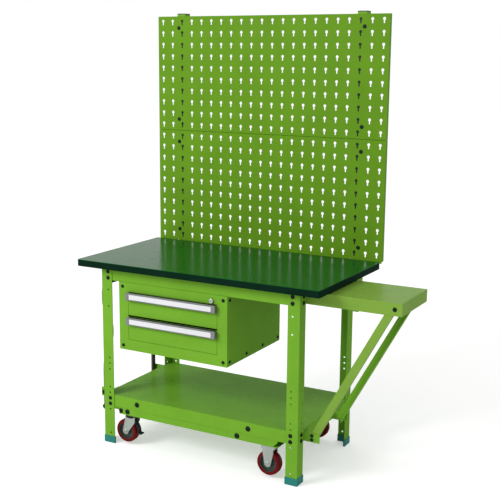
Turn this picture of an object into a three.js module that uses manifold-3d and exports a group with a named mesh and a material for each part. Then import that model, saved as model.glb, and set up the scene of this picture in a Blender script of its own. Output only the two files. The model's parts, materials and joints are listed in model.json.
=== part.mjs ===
import * as THREE from 'three';
import { mergeGeometries, mergeVertices } from 'three/addons/utils/BufferGeometryUtils.js';
import Module from 'manifold-3d';

// Assembly table: worktop on four angle legs, pegboard back, two-drawer cabinet, side shelf,
// and a wheel carriage under the bottom shelf that a U-shaped lever swings down.
// Millimetres. X runs along the front edge, Y to the back, Z up from the floor.

// Worktop
const topWidth = 1100;
const topDepth = 590;
const topHeight = 790;
const topThickness = 28;
const topSheet = 2;
const topCorner = 6;

// Legs and feet
const legInset = 95;
const legFront = 40;
const legRearInset = 45;
const legFlange = 50;
const legWall = 3;
const legHole = 5;
const legHoleLine = 31;
const holeSides = 4;
const holeAboveFoot = 15;
const shelfHoleDrop = 15;
const shelfHoleStep = 24.5;
const middleHoleRise = 111;
const middleHoleStep = 25;
const upperHoleDrop = 111;
const upperHoleStep = 70;
const footRim = 2.5;
const footHeight = 30;
const footFloor = 4;

// Sheet metal
const sheet = 2;
const apronHeight = 53;
const apronReturn = 20;
const fit = 0.3;

// Bottom shelf
const shelfRise = 80;
const shelfLip = 50;

// Pegboard
const panelPitch = 50;
const panelRows = 10;
const panelSetback = 22;
const panelSheet = 1.5;
const panelReturn = 18;
const panelLap = 3;
const panelGap = 1;
const keyholeWide = 13;
const keyholeNarrow = 6;
const keyholeTall = 25;

// Posts behind the pegboard
const postSize = 40;
const postWall = 2;
const postDrop = 230;
const postRise = 8;
const capThickness = 4;
const capPlug = 10;
const postBracketHeight = 150;
const postBracketDrop = 15;

// Side shelf and its braces
const sideWidth = 380;
const sideDepth = 270;
const sideGap = 3;
const sideDrop = 4;
const sideLip = 48;
const strutWidth = 30;
const strutDepth = 18;
const strutWall = 3;
const strutTopInset = 38;
const strutFootReach = 42;
const strutFootDrop = 29;
const earLength = 70;
const earHeight = 34;

// Drawer cabinet
const cabinetLeft = 181;
const cabinetWidth = 513;
const cabinetHeight = 285;
const cabinetDepth = 445;
const frameMargin = 45;
const frameHeader = 37;
const drawerGap = 4;
const frontGap = 1.5;
const drawerDepth = 400;
const drawerSideSpace = 13;
const drawerRimDrop = 12;
const drawerFloorRise = 8;
const runnerWeb = 40;
const runnerLedge = 10;
const handleHeight = 32;
const handleReach = 20;
const handleWall = 3;
const lockRadius = 9;
const lockLength = 16;
const lockProud = 6;
const lockFromRight = 70;

// Wheel carriage and its swinging arms
const armRun = 51;
const armDrop = 40;
const armPivotDrop = 25;
const leftPivotInset = 165;
const rightPivotInset = 217;
const armThickness = 5;
const armRadius = 11;
const shaftRadius = 8;
const shaftSides = 8;
const carriageLeftInset = 69;
const carriageRightInset = 88;
const plateGap = 0.5;
const carriageSide = 43;
const carriageChamfer = 22;
const padThickness = 3;
const padLength = 95;

// Casters
const wheelRadius = 50;
const wheelWidth = 32;
const wheelClear = 11;
const axleRadius = 5;
const hubClear = 0.6;
const hubWall = 12;
const treadDepth = 12;
const treadRound = 3;
const webShare = 0.45;
const wheelSides = 14;
const wheelTravel = 33;
const wheelSetback = 30;
const casterTrail = 22;
const cheekWall = 3;
const cheekGap = 1;
const cheekFoot = 14;
const forkRoom = 24;
const rigidCrownWing = 6;
const crownRadius = 24;
const crownHeight = 12;
const pedalGap = 6;
const pedalWall = 3;
const pedalWidth = 24;
const pedalToe = 14;
const pedalPivotX = 0.68 * wheelRadius;
const pedalPivotZ = 0.98 * wheelRadius;
const pedalBarrel = 5;

// Lever
const leverOut = 47;
const leverBehindLeg = 22;
const leverTube = 10;
const leverPivotDrop = 22;
const leverCrank = 66;
const leverTail = 8;
const leverTopDrop = 37;
const leverBow = 35;
const leverBowRise = 35;
const leverStraight = 90;
const leverShoulder = 1.6;
const leverSteps = 48;
const gripSides = 12;
const leverBend = 45;
const gripLength = 160;
const gripWall = 4;
const linkRadius = 9;
const linkThickness = 4;
const linkRoom = 3;

// Places worked out from the sizes above
const halfTop = topWidth / 2;
const legOuter = halfTop - legInset;
const legRear = topDepth - legRearInset;
const middleY = (legFront + legRear) / 2;
const underTop = topHeight - topThickness;
const apronBottom = underTop - apronHeight;
const panelColumns = Math.floor(topWidth / panelPitch);
const panelWidth = panelPitch * panelColumns;
const panelHeight = panelPitch * panelRows;
const panelFront = topDepth + panelSetback;
const panelBottom = topHeight - panelLap;
const postBottom = topHeight - postDrop;
const axleHeight = wheelClear + wheelRadius;
const carriageBottom = axleHeight + wheelRadius + forkRoom;
const carriageTop = carriageBottom + carriageSide;
const carriageLeft = carriageLeftInset - legOuter;
const carriageRight = legOuter - carriageRightInset;
const shelfTop = carriageBottom + shelfRise;
const shelfLipBottom = shelfTop - shelfLip;
const armPivotHeight = shelfTop - armPivotDrop;
const leftPivot = leftPivotInset - legOuter;
const rightPivot = legOuter - rightPivotInset;
const leftWheel = legFlange + wheelRadius - legOuter;
const rightWheel = -leftWheel - wheelTravel;
const sideFront = legFront + legFlange + sideGap;
const strutFootHeight = shelfTop - strutFootDrop;
const leverX = -legOuter - leverOut;
const leverPivotHeight = shelfTop - leverPivotDrop;
const leverTop = apronBottom - leverTopDrop;
const linkPin = [leftPivot, armPivotHeight - leverCrank];
const acrossY = (y) => 2 * middleY - y;

const wasm = await Module();
wasm.setup();

const paint = (color, roughness, metalness) =>
  new THREE.MeshStandardMaterial({ color, roughness, metalness });
const greenPaint = () => paint(0x6cab34, 0.42, 0.1);
const zincSteel = () => paint(0x9aa29e, 0.38, 0.9);
const chromeSteel = () => paint(0xb9bcbc, 0.15, 1);
const blackPlastic = () => paint(0x1b201e, 0.6, 0);
const tealRubber = () => paint(0x0e746e, 0.6, 0);

const table = new THREE.Group();

function place(name, shape, material) {
  const geometry = shape.isBufferGeometry ? shape : toGeometry(shape);
  const mesh = new THREE.Mesh(geometry, material);
  mesh.name = name;
  table.add(mesh);
  return mesh;
}

function toSolid(geometry) {
  const bare = geometry.clone();
  bare.deleteAttribute('normal');
  bare.deleteAttribute('uv');
  const merged = mergeVertices(bare, 1e-4);
  const vertProperties = new Float32Array(merged.attributes.position.array);
  const triVerts = new Uint32Array(merged.index.array);
  return new wasm.Manifold(new wasm.Mesh({ numProp: 3, vertProperties, triVerts }));
}

function toGeometry(solid) {
  const mesh = solid.getMesh();
  const geometry = new THREE.BufferGeometry();
  geometry.setAttribute('position', new THREE.BufferAttribute(new Float32Array(mesh.vertProperties), 3));
  geometry.setIndex(new THREE.BufferAttribute(new Uint32Array(mesh.triVerts), 1));
  return geometry;
}

const join = (...shapes) => shapes.map(toSolid).reduce((sum, next) => sum.add(next));
const cut = (shape, ...tools) =>
  tools.map(toSolid).reduce((rest, tool) => rest.subtract(tool), toSolid(shape));

function box(x0, x1, y0, y1, z0, z1) {
  const geometry = new THREE.BoxGeometry(1, 1, 1);
  geometry.translate(0.5, 0.5, 0.5);
  geometry.scale(x1 - x0, y1 - y0, z1 - z0);
  geometry.translate(x0, y0, z0);
  return geometry;
}

function outline(points, shape = new THREE.Shape()) {
  shape.setFromPoints(points.map(([a, b]) => new THREE.Vector2(a, b)));
  shape.closePath();
  return shape;
}

function polygon(a, b, radius, sides, shape = new THREE.Shape()) {
  const corner = (i) => (2 * Math.PI * (i + 0.5)) / sides;
  const points = Array.from({ length: sides }, (_, i) => [
    a + radius * Math.cos(corner(i)), b + radius * Math.sin(corner(i))]);
  return outline(points, shape);
}

// Bar with round ends between two pivots, as a flat outline.
function linkOutline(a, b, radius) {
  const turn = Math.atan2(b[1] - a[1], b[0] - a[0]);
  const shape = new THREE.Shape();
  shape.absarc(b[0], b[1], radius, turn - Math.PI / 2, turn + Math.PI / 2, false);
  shape.absarc(a[0], a[1], radius, turn + Math.PI / 2, turn + 1.5 * Math.PI, false);
  shape.closePath();
  return shape;
}

const axisX = new THREE.Vector3(1, 0, 0);
const axisY = new THREE.Vector3(0, 1, 0);
const axisZ = new THREE.Vector3(0, 0, 1);
const flat = (shape, depth, segments) =>
  new THREE.ExtrudeGeometry(shape, { depth, bevelEnabled: false, curveSegments: segments });

// Outline in the X-Y plane, carried up from z0 to z1.
function alongZ(shape, z0, z1, segments = 4) {
  return flat(shape, z1 - z0, segments).translate(0, 0, z0);
}

// Outline in the X-Z plane, carried back from y0 to y1.
function alongY(shape, y0, y1, segments = 4) {
  const turn = new THREE.Matrix4().makeBasis(axisX, axisZ, axisY.clone().negate());
  return flat(shape, y1 - y0, segments).applyMatrix4(turn).translate(0, y1, 0);
}

// Outline in the Y-Z plane, carried right from x0 to x1.
function alongX(shape, x0, x1, segments = 4) {
  const turn = new THREE.Matrix4().makeBasis(axisY, axisZ, axisX);
  return flat(shape, x1 - x0, segments).applyMatrix4(turn).translate(x0, 0, 0);
}

// The same Y span seen from the back of the frame.
const spanY = (y0, y1, rear) => (rear ? [acrossY(y1), acrossY(y0)] : [y0, y1]);

function makeWorktop() {
  const shape = new THREE.Shape();
  const r = topCorner;
  shape.absarc(halfTop - r, r, r, -Math.PI / 2, 0, false);
  shape.absarc(halfTop - r, topDepth - r, r, 0, Math.PI / 2, false);
  shape.absarc(r - halfTop, topDepth - r, r, Math.PI / 2, Math.PI, false);
  shape.absarc(r - halfTop, r, r, Math.PI, 1.5 * Math.PI, false);
  shape.closePath();
  place('top_board', alongZ(shape, underTop, topHeight - topSheet, 3), paint(0x15311f, 0.5, 0));
  place('top_sheet', alongZ(shape, topHeight - topSheet, topHeight, 3), paint(0x1e6422, 0.25, 0));
}

// Heights of the bolt holes in a leg: one above the foot, steps for the shelf, steps half way up
// and two under the apron.
function legHoleHeights() {
  const firstStep = shelfLipBottom - shelfHoleDrop;
  const shelfSteps = [0, 3, 4].map((i) => firstStep + i * shelfHoleStep);
  const middleSteps = [0, 1, 2].map((i) => shelfTop + middleHoleRise + i * middleHoleStep);
  const upperSteps = [0, 1].map((i) => apronBottom - upperHoleDrop + i * upperHoleStep);
  return [footHeight + holeAboveFoot, ...shelfSteps, ...middleSteps, ...upperSteps];
}

function legOutline(side, rear, gap = 0) {
  const x = (d) => side * (legOuter - d);
  const y = (d) => (rear ? legRear - d : legFront + d);
  const f = legFlange + gap;
  const w = legWall + gap;
  const points = [[-gap, -gap], [f, -gap], [f, w], [w, w], [w, f], [-gap, f]].map(([a, b]) => [x(a), y(b)]);
  return outline(points);
}

function makeLeg(side, rear) {
  const tools = [];
  const reach = 1;
  const lineX = side * (legOuter - legHoleLine);
  const lineY = rear ? legRear - legHoleLine : legFront + legHoleLine;
  for (const z of legHoleHeights()) {
    const [y0, y1] = spanY(legFront - reach, legFront + legWall + reach, rear);
    tools.push(alongY(polygon(lineX, z, legHole, holeSides), y0, y1));
    const outer = side * (legOuter + reach);
    const inner = side * (legOuter - legWall - reach);
    tools.push(alongX(polygon(lineY, z, legHole, holeSides), Math.min(outer, inner), Math.max(outer, inner)));
  }
  const leg = cut(alongZ(legOutline(side, rear), footFloor + fit, underTop), ...tools);
  const corner = `${rear ? 'rear' : 'front'}_${side < 0 ? 'left' : 'right'}`;
  place(`leg_${corner}`, leg, greenPaint());
  const outX = [side * (legOuter + footRim), side * (legOuter - legFlange - footRim)].sort((a, b) => a - b);
  const outY = spanY(legFront - footRim, legFront + legFlange + footRim, rear);
  const block = box(...outX, ...outY, 0, footHeight);
  const socket = alongZ(legOutline(side, rear, fit), footFloor, footHeight + 1);
  place(`foot_cap_${corner}`, cut(block, socket), tealRubber());
}

function makeAprons() {
  const lineX = legOuter - legWall;
  for (const rear of [false, true]) {
    const y = (d) => (rear ? legRear - legWall - d : legFront + legWall + d);
    const web = [[0, apronBottom], [apronReturn, apronBottom], [apronReturn, apronBottom + sheet],
      [sheet, apronBottom + sheet], [sheet, underTop - sheet], [apronReturn, underTop - sheet],
      [apronReturn, underTop], [0, underTop]].map(([d, z]) => [y(d), z]);
    place(rear ? 'rear_apron' : 'front_apron', alongX(outline(web), -lineX, lineX), greenPaint());
  }
  const railFront = legFront + legWall + apronReturn + 1;
  for (const side of [-1, 1]) {
    const x = (d) => side * (lineX - d);
    const web = [[0, apronBottom], [apronReturn, apronBottom], [apronReturn, apronBottom + sheet],
      [sheet, apronBottom + sheet], [sheet, underTop - sheet], [apronReturn, underTop - sheet],
      [apronReturn, underTop], [0, underTop]].map(([d, z]) => [x(d), z]);
    const rail = alongY(outline(web), railFront, acrossY(railFront));
    place(side < 0 ? 'left_rail' : 'right_rail', rail, greenPaint());
  }
}

// Shallow tray turned upside down, with its lips hanging.
function hangingTray(x0, x1, y0, y1, z0, z1) {
  const hollow = box(x0 + sheet, x1 - sheet, y0 + sheet, y1 - sheet, z0 - 1, z1 - sheet);
  return cut(box(x0, x1, y0, y1, z0, z1), hollow);
}

function makeBottomShelf() {
  const halfX = legOuter - legWall;
  const front = legFront + legWall;
  const tray = hangingTray(-halfX, halfX, front, acrossY(front), shelfLipBottom, shelfTop);
  place('bottom_shelf', tray, greenPaint());
}

// Wide at the shoulder and narrow at the neck, so that a hook drops in and locks.
function keyhole(x, z) {
  const points = [[-keyholeWide / 2, keyholeTall / 2], [keyholeWide / 2, keyholeTall / 2],
    [keyholeNarrow / 2, -keyholeTall / 2], [-keyholeNarrow / 2, -keyholeTall / 2]];
  return outline(points.map(([a, b]) => [x + a, z + b]));
}

function makePanel(name, bottom) {
  const half = panelWidth / 2;
  const top = bottom + panelHeight;
  const back = panelFront + panelSheet;
  const reach = 1;
  const holes = [];
  for (let row = 0; row < panelRows; row += 1) {
    for (let column = 0; column < panelColumns; column += 1) {
      const shape = keyhole((column + 0.5) * panelPitch - half, bottom + (row + 0.5) * panelPitch);
      holes.push(alongY(shape, panelFront - reach, back + reach));
    }
  }
  const rim = panelFront + panelReturn;
  const inner = half - panelSheet;
  const hollow = box(-inner, inner, back, rim + reach, bottom + panelSheet, top - panelSheet);
  const postLine = legOuter - legFlange / 2;
  const slotHalf = postSize / 2 + panelSheet;
  const slots = [-1, 1].map((side) => box(side * postLine - slotHalf, side * postLine + slotHalf,
    back, rim + reach, bottom - reach, top + reach));
  const tray = box(-half, half, panelFront, rim, bottom, top);
  place(name, cut(tray, hollow, ...slots, mergeGeometries(holes)), paint(0x67993a, 0.45, 0.1));
}

function makePegboard() {
  makePanel('peg_panel_lower', panelBottom);
  makePanel('peg_panel_upper', panelBottom + panelHeight + panelGap);
}

function makePosts() {
  const front = panelFront + panelSheet + fit;
  const postTop = panelBottom + 2 * panelHeight + panelGap + postRise;
  const half = postSize / 2;
  const bore = half - postWall;
  const bracketTop = underTop - postBracketDrop;
  for (const side of [-1, 1]) {
    const hand = side < 0 ? 'left' : 'right';
    const centre = side * (legOuter - legFlange / 2);
    const tube = outline([[centre - half, front], [centre + half, front],
      [centre + half, front + postSize], [centre - half, front + postSize]]);
    const boreFront = front + postWall;
    const boreBack = front + postSize - postWall;
    tube.holes.push(outline([[centre - bore, boreFront], [centre + bore, boreFront],
      [centre + bore, boreBack], [centre - bore, boreBack]], new THREE.Path()));
    place(`post_${hand}`, alongZ(tube, postBottom, postTop), greenPaint());
    const plug = bore - fit;
    const lid = box(centre - half, centre + half, front, front + postSize, postTop, postTop + capThickness);
    const middle = front + half;
    const stem = box(centre - plug, centre + plug, middle - plug, middle + plug,
      postTop - capPlug, postTop + 1);
    place(`post_cap_${hand}`, join(lid, stem), blackPlastic());
    const x = (d) => side * (legOuter - d);
    const wall = legWall;
    const channel = [[0, legRear], [legFlange, legRear], [legFlange, legRear + wall], [wall, legRear + wall],
      [wall, front - wall], [legFlange, front - wall], [legFlange, front], [0, front]];
    const bracket = outline(channel.map(([d, y]) => [x(d), y]));
    place(`post_bracket_${hand}`, alongZ(bracket, bracketTop - postBracketHeight, bracketTop), greenPaint());
  }
}

// Angle bracket: a foot against the shelf's side lip and an ear that stands out from it.
function earBracket(side, start, length, y0, y1, footTo, z0, z1) {
  const wall = strutWall;
  const x = (d) => side * (start + d);
  const far = footTo > y1;
  const points = far
    ? [[0, y0], [length, y0], [length, y1], [wall, y1], [wall, footTo], [0, footTo]]
    : [[0, footTo], [wall, footTo], [wall, y0], [length, y0], [length, y1], [0, y1]];
  return alongZ(outline(points.map(([d, y]) => [x(d), y])), z0, z1);
}

function makeSideShelf() {
  const start = legOuter - legWall;
  const end = start + sideWidth;
  const top = underTop - sideDrop;
  const bottom = top - sideLip;
  const back = sideFront + sideDepth;
  place('side_shelf', hangingTray(start, end, sideFront, back, bottom, top), greenPaint());
  const foot = [start + strutFootReach, strutFootHeight];
  const head = [end - strutTopInset, top - sideLip / 2];
  const run = new THREE.Vector2(head[0] - foot[0], head[1] - foot[1]);
  const length = run.length() + strutWidth;
  const lean = Math.atan2(run.x, run.y);
  for (const rear of [false, true]) {
    const name = rear ? 'rear' : 'front';
    const faceY = rear ? back - sheet - fit : sideFront + sheet + fit;
    const inward = rear ? -1 : 1;
    const half = strutWidth / 2;
    const section = [[-half, 0], [half, 0], [half, strutDepth], [half - strutWall, strutDepth],
      [half - strutWall, strutWall], [-half, strutWall]].map(([a, b]) => [a, inward * b]);
    const strut = place(`strut_${name}`, alongZ(outline(section), -half, length - half), greenPaint());
    strut.position.set(foot[0], faceY, foot[1]);
    strut.rotation.y = lean;
    const earY = rear ? [faceY + fit, faceY + fit + strutWall] : [faceY - fit - strutWall, faceY - fit];
    const footTo = rear ? earY[0] - 2 * strutDepth : earY[1] + 2 * strutDepth;
    const earTop = strutFootHeight + earHeight / 2;
    const bracket = earBracket(1, start, earLength, ...earY, footTo, earTop - earHeight, earTop);
    place(`strut_bracket_${name}`, bracket, greenPaint());
  }
}

function makeCabinet() {
  const left = cabinetLeft - halfTop;
  const right = left + cabinetWidth;
  const top = apronBottom;
  const bottom = top - cabinetHeight;
  const face = legFront;
  const shellFront = face + sheet;
  const shellBack = shellFront + cabinetDepth;
  const outer = box(left, right, shellFront, shellBack, bottom, top);
  const hollow = box(left + sheet, right - sheet, shellFront - 1, shellBack - sheet,
    bottom + sheet, top - sheet);
  place('cabinet_shell', cut(outer, hollow), greenPaint());

  const opening = {
    x0: left + frameMargin, x1: right - frameMargin, z0: bottom + frameMargin, z1: top - frameHeader,
  };
  const frame = outline([[left, bottom], [right, bottom], [right, top], [left, top]]);
  frame.holes.push(outline([[opening.x0, opening.z0], [opening.x1, opening.z0],
    [opening.x1, opening.z1], [opening.x0, opening.z1]], new THREE.Path()));
  const lockX = right - lockFromRight;
  const lockZ = opening.z1 + frameHeader / 3;
  const lockSides = 12;
  const lockHole = (lockRadius + fit) / Math.cos(Math.PI / lockSides);
  frame.holes.push(polygon(lockX, lockZ, lockHole, lockSides, new THREE.Path()));
  place('cabinet_front_frame', alongY(frame, face, shellFront), greenPaint());
  const lockFront = face - lockProud;
  const barrel = alongY(polygon(lockX, lockZ, lockRadius, lockSides), lockFront, lockFront + lockLength);
  place('lock_barrel', barrel, zincSteel());

  const frontHeight = (opening.z1 - opening.z0 - drawerGap) / 2;
  for (const level of [0, 1]) {
    const name = level ? 'upper' : 'lower';
    const z0 = opening.z0 + level * (frontHeight + drawerGap) + frontGap;
    makeDrawer(name, opening.x0 + frontGap, opening.x1 - frontGap, face, z0, z0 + frontHeight - 2 * frontGap);
    const floor = z0 + drawerFloorRise - fit;
    for (const side of [-1, 1]) {
      const wall = side < 0 ? left + sheet : right - sheet;
      const inset = frontGap + drawerSideSpace;
      const drawerSide = side < 0 ? opening.x0 + inset : opening.x1 - inset;
      const ledge = drawerSide - side * runnerLedge;
      const web = [[wall, floor - sheet], [ledge, floor - sheet], [ledge, floor],
        [wall - side * sheet, floor], [wall - side * sheet, floor + runnerWeb], [wall, floor + runnerWeb]];
      const runner = alongY(outline(web), shellFront + sheet, shellBack - 2 * sheet);
      place(`${name}_runner_${side < 0 ? 'left' : 'right'}`, runner, zincSteel());
    }
  }
}

function makeDrawer(name, x0, x1, face, z0, z1) {
  place(`${name}_drawer_front`, box(x0, x1, face, face + sheet, z0, z1), greenPaint());
  const boxX0 = x0 + drawerSideSpace;
  const boxX1 = x1 - drawerSideSpace;
  const boxFront = face + sheet;
  const boxBack = boxFront + drawerDepth;
  const floor = z0 + drawerFloorRise;
  const rim = z1 - drawerRimDrop;
  const outer = box(boxX0, boxX1, boxFront, boxBack, floor, rim);
  const hollow = box(boxX0 + sheet, boxX1 - sheet, boxFront + sheet, boxBack - sheet, floor + sheet, rim + 1);
  place(`${name}_drawer_box`, cut(outer, hollow), paint(0x8a918d, 0.5, 0.6));

  const tip = face - handleReach;
  const low = z1 - handleHeight;
  const pull = outline([[face, low], [tip + handleWall, low], [tip, low + handleWall], [tip, z1 - handleWall],
    [tip + handleWall, z1], [tip + 2 * handleWall, z1], [tip + 2 * handleWall, z1 - handleWall],
    [tip + handleWall, z1 - 2 * handleWall], [tip + handleWall, low + 2 * handleWall],
    [face, low + handleWall]]);
  const profile = alongX(pull, x0, x1);
  const capTop = z1 - handleWall;
  const endCap = (from) =>
    box(from, from + handleWall, tip + handleWall / 2, face, low + handleWall / 2, capTop);
  const handle = join(profile, endCap(x0), endCap(x1 - handleWall));
  place(`${name}_drawer_handle`, handle, paint(0x8b8f8e, 0.35, 0.8));
}

function armPlate(pivotX, y0, y1) {
  const low = [pivotX - armRun, armPivotHeight - armDrop];
  return alongY(linkOutline(low, [pivotX, armPivotHeight], armRadius), y0, y1, 6);
}

const plateFront = legFront + legWall + sheet + plateGap;
const plateBack = plateFront + sheet;

// The drag links lie beside the lever's flats, and the cranks of the left arms beside the links.
const leverY = legFront + legFlange + leverBehindLeg;
const leverSides = 8;
const leverFlat = leverTube * Math.cos(Math.PI / leverSides);
const linkY = [leverY + leverFlat + fit, leverY + leverFlat + fit + linkThickness];
const crankY = [linkY[1] + fit, linkY[1] + fit + linkThickness];

// Two crossing shafts with a swing arm at each end. The left shaft also has cranks that are as long
// as the lever's and parallel to it, so that lever and arms turn through the same angle.
function makeArms() {
  const crank = linkOutline(linkPin, [leftPivot, armPivotHeight], armRadius);
  const shaftFront = legFront + legWall + sheet + fit;
  const armFront = plateBack + fit;
  for (const [name, pivotX] of [['left_arms', leftPivot], ['right_arms', rightPivot]]) {
    const plates = [];
    for (const rear of [false, true]) {
      plates.push(armPlate(pivotX, ...spanY(armFront, armFront + armThickness, rear)));
      if (pivotX === leftPivot) plates.push(alongY(crank, ...spanY(...crankY, rear), 6));
    }
    const round = polygon(pivotX, armPivotHeight, shaftRadius, shaftSides);
    const shaft = alongY(round, shaftFront, acrossY(shaftFront));
    place(name, join(shaft, ...plates), zincSteel());
  }
}

// Side plates that ride behind the shelf's lips. A pad joins them on the right; on the left each has
// its own pad, so that the drag links can pass between.
function makeCarriage() {
  const c = carriageChamfer;
  const side = outline([[carriageLeft + c, carriageBottom], [carriageRight - c, carriageBottom],
    [carriageRight, carriageBottom + c], [carriageRight, carriageTop], [carriageLeft, carriageTop],
    [carriageLeft, carriageBottom + c]]);
  const parts = [];
  const padTop = carriageBottom + padThickness;
  const padFront = plateBack - 1;
  for (const rear of [false, true]) {
    parts.push(alongY(side, ...spanY(plateFront, plateBack, rear)));
    const padY = spanY(padFront, linkY[0] - linkRoom, rear);
    parts.push(box(carriageLeft, carriageLeft + padLength, ...padY, carriageBottom, padTop));
  }
  const padRight = carriageRight - padLength;
  parts.push(box(padRight, carriageRight, padFront, acrossY(padFront), carriageBottom, padTop));
  place('carriage', join(...parts), greenPaint());
}

const forkTop = carriageBottom - fit;
const wheelY = legFront + wheelSetback;

// Half of the tyre and hub section, turned about the axle.
function wheelGeometry(x, y) {
  const half = wheelWidth / 2;
  const rim = wheelRadius;
  const shoulder = half - treadRound;
  const web = half * webShare;
  const hub = axleRadius + hubWall;
  const tread = rim - treadDepth;
  const side = rim - treadRound;
  const bore = axleRadius + hubClear;
  const section = [[bore, -half], [hub, -half], [tread, -web], [side, -half], [rim, -shoulder],
    [rim, shoulder], [side, half], [tread, web], [hub, half], [bore, half], [bore, -half]];
  const profile = section.map(([r, a]) => new THREE.Vector2(r, a));
  return new THREE.LatheGeometry(profile, wheelSides).translate(x, y, axleHeight);
}

function cheekOutline(axleX, topX0, topX1, top) {
  const shape = new THREE.Shape();
  shape.moveTo(topX1, top);
  shape.lineTo(topX0, top);
  shape.lineTo(topX0, top - crownHeight);
  shape.absarc(axleX, axleHeight, cheekFoot, Math.PI, 2 * Math.PI, false);
  shape.lineTo(topX1, top - 2 * crownHeight);
  shape.closePath();
  return shape;
}

function forkShape(axleX, centreX, y, crown) {
  const inner = wheelWidth / 2 + cheekGap;
  const outer = inner + cheekWall;
  const cheek = cheekOutline(axleX, centreX - crownRadius, centreX + crownRadius, forkTop - crownHeight / 2);
  const axle = alongY(polygon(axleX, axleHeight, axleRadius, shaftSides), y - outer, y + outer);
  return join(crown, alongY(cheek, y - outer, y - inner), alongY(cheek, y + inner, y + outer), axle);
}

function makeCaster(leftSide, rear) {
  const corner = `${rear ? 'rear' : 'front'}_${leftSide ? 'left' : 'right'}`;
  const y = rear ? acrossY(wheelY) : wheelY;
  const axleX = leftSide ? leftWheel : rightWheel;
  const outer = wheelWidth / 2 + cheekGap + cheekWall;
  if (leftSide) {
    const centreX = axleX + casterTrail;
    const crown = alongZ(polygon(centreX, y, crownRadius, 2 * shaftSides), forkTop - crownHeight, forkTop);
    place(`swivel_fork_${corner}`, forkShape(axleX, centreX, y, crown), zincSteel());
    makePedal(corner, axleX, y);
  } else {
    const wing = crownRadius + rigidCrownWing;
    const crown = box(axleX - wing, axleX + wing, y - outer, y + outer, forkTop - crownHeight, forkTop);
    place(`rigid_fork_${corner}`, forkShape(axleX, axleX, y, crown), zincSteel());
  }
  place(`wheel_${corner}`, wheelGeometry(axleX, y), paint(0x600e0c, 0.4, 0));
}

// Brake pedal: a barrel between the fork cheeks and a curved shoe that hugs the tread.
function makePedal(corner, axleX, y) {
  const inner = wheelRadius + pedalGap;
  const outer = inner + pedalWall;
  const start = Math.atan2(pedalPivotZ, pedalPivotX);
  const shoe = new THREE.Shape();
  shoe.absarc(axleX, axleHeight, outer, start, 0, true);
  shoe.lineTo(axleX + outer + pedalToe, axleHeight - pedalWall);
  shoe.lineTo(axleX + outer + pedalToe, axleHeight - 2 * pedalWall);
  shoe.lineTo(axleX + inner, axleHeight - 2 * pedalWall);
  shoe.absarc(axleX, axleHeight, inner, 0, start, false);
  shoe.closePath();
  const halfBarrel = wheelWidth / 2 + cheekGap - fit;
  const barrelShape = polygon(axleX + pedalPivotX, axleHeight + pedalPivotZ, pedalBarrel, shaftSides);
  const barrel = alongY(barrelShape, y - halfBarrel, y + halfBarrel);
  const pedal = join(alongY(shoe, y - pedalWidth / 2, y + pedalWidth / 2, 5), barrel);
  place(`brake_pedal_${corner}`, pedal, blackPlastic());
}

function makeLever() {
  const rearY = acrossY(leverY);
  const tail = leverPivotHeight - leverCrank - leverTail;
  const mid = (leverPivotHeight + leverTop) / 2 + leverBowRise;
  const point = (x, y, z) => new THREE.Vector3(x, y, z);
  const bowX = leverX + leverBow;
  const path = new THREE.CurvePath();
  const straightTop = leverPivotHeight + leverStraight;
  const upright = (y) => [point(leverX, y, tail), point(leverX, y, straightTop), point(bowX, y, mid),
    point(leverX, y, leverTop - leverShoulder * leverBend), point(leverX, y, leverTop - leverBend)];
  const front = upright(leverY);
  const rear = upright(rearY);
  const bow = (a, b, c) => new THREE.CubicBezierCurve3(a, a.clone().lerp(point(a.x, a.y, c.z), 0.6),
    point(b.x, b.y, a.z).lerp(b, 0.6), b);
  const rise = [new THREE.LineCurve3(front[0], front[1]), bow(front[1], front[2], front[2]),
    bow(front[2], front[3], front[3]), new THREE.LineCurve3(front[3], front[4])];
  const topFront = point(leverX, leverY + leverBend, leverTop);
  const topRear = point(leverX, rearY - leverBend, leverTop);
  const fall = [new THREE.LineCurve3(rear[4], rear[3]), bow(rear[3], rear[2], rear[2]),
    bow(rear[2], rear[1], rear[1]), new THREE.LineCurve3(rear[1], rear[0])];
  const cornerFront = new THREE.QuadraticBezierCurve3(front[4], point(leverX, leverY, leverTop), topFront);
  const cornerRear = new THREE.QuadraticBezierCurve3(topRear, point(leverX, rearY, leverTop), rear[4]);
  const topBar = new THREE.LineCurve3(topFront, topRear);
  for (const curve of [...rise, cornerFront, topBar, cornerRear, ...fall]) path.add(curve);
  const section = polygon(0, 0, leverTube, leverSides);
  const sweep = { steps: leverSteps, bevelEnabled: false, extrudePath: path };
  const tube = new THREE.ExtrudeGeometry(section, sweep);
  place('lever_tube', tube, chromeSteel());

  const gripOuter = leverTube + fit + gripWall;
  const ring = polygon(leverX, leverTop, gripOuter, gripSides);
  ring.holes.push(polygon(leverX, leverTop, leverTube + fit, gripSides, new THREE.Path()));
  place('lever_grip', alongY(ring, middleY - gripLength / 2, middleY + gripLength / 2), blackPlastic());

  const start = legOuter - legWall;
  const reach = -leverX - start + leverTube + strutWall;
  const pinLow = [leverX, leverPivotHeight - leverCrank];
  const eye = linkOutline(pinLow, linkPin, linkRadius);
  for (const isRear of [false, true]) {
    const name = isRear ? 'rear' : 'front';
    const earY = spanY(leverY - leverFlat - fit - strutWall, leverY - leverFlat - fit, isRear);
    const footTo = isRear ? earY[0] - 2 * strutDepth : earY[1] + 2 * strutDepth;
    const bracket = earBracket(-1, start, reach, ...earY, footTo, leverPivotHeight - earHeight / 2, shelfTop);
    place(`lever_bracket_${name}`, bracket, greenPaint());
    place(`drag_link_${name}`, alongY(eye, ...spanY(...linkY, isRear), 6), greenPaint());
  }
}

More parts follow.
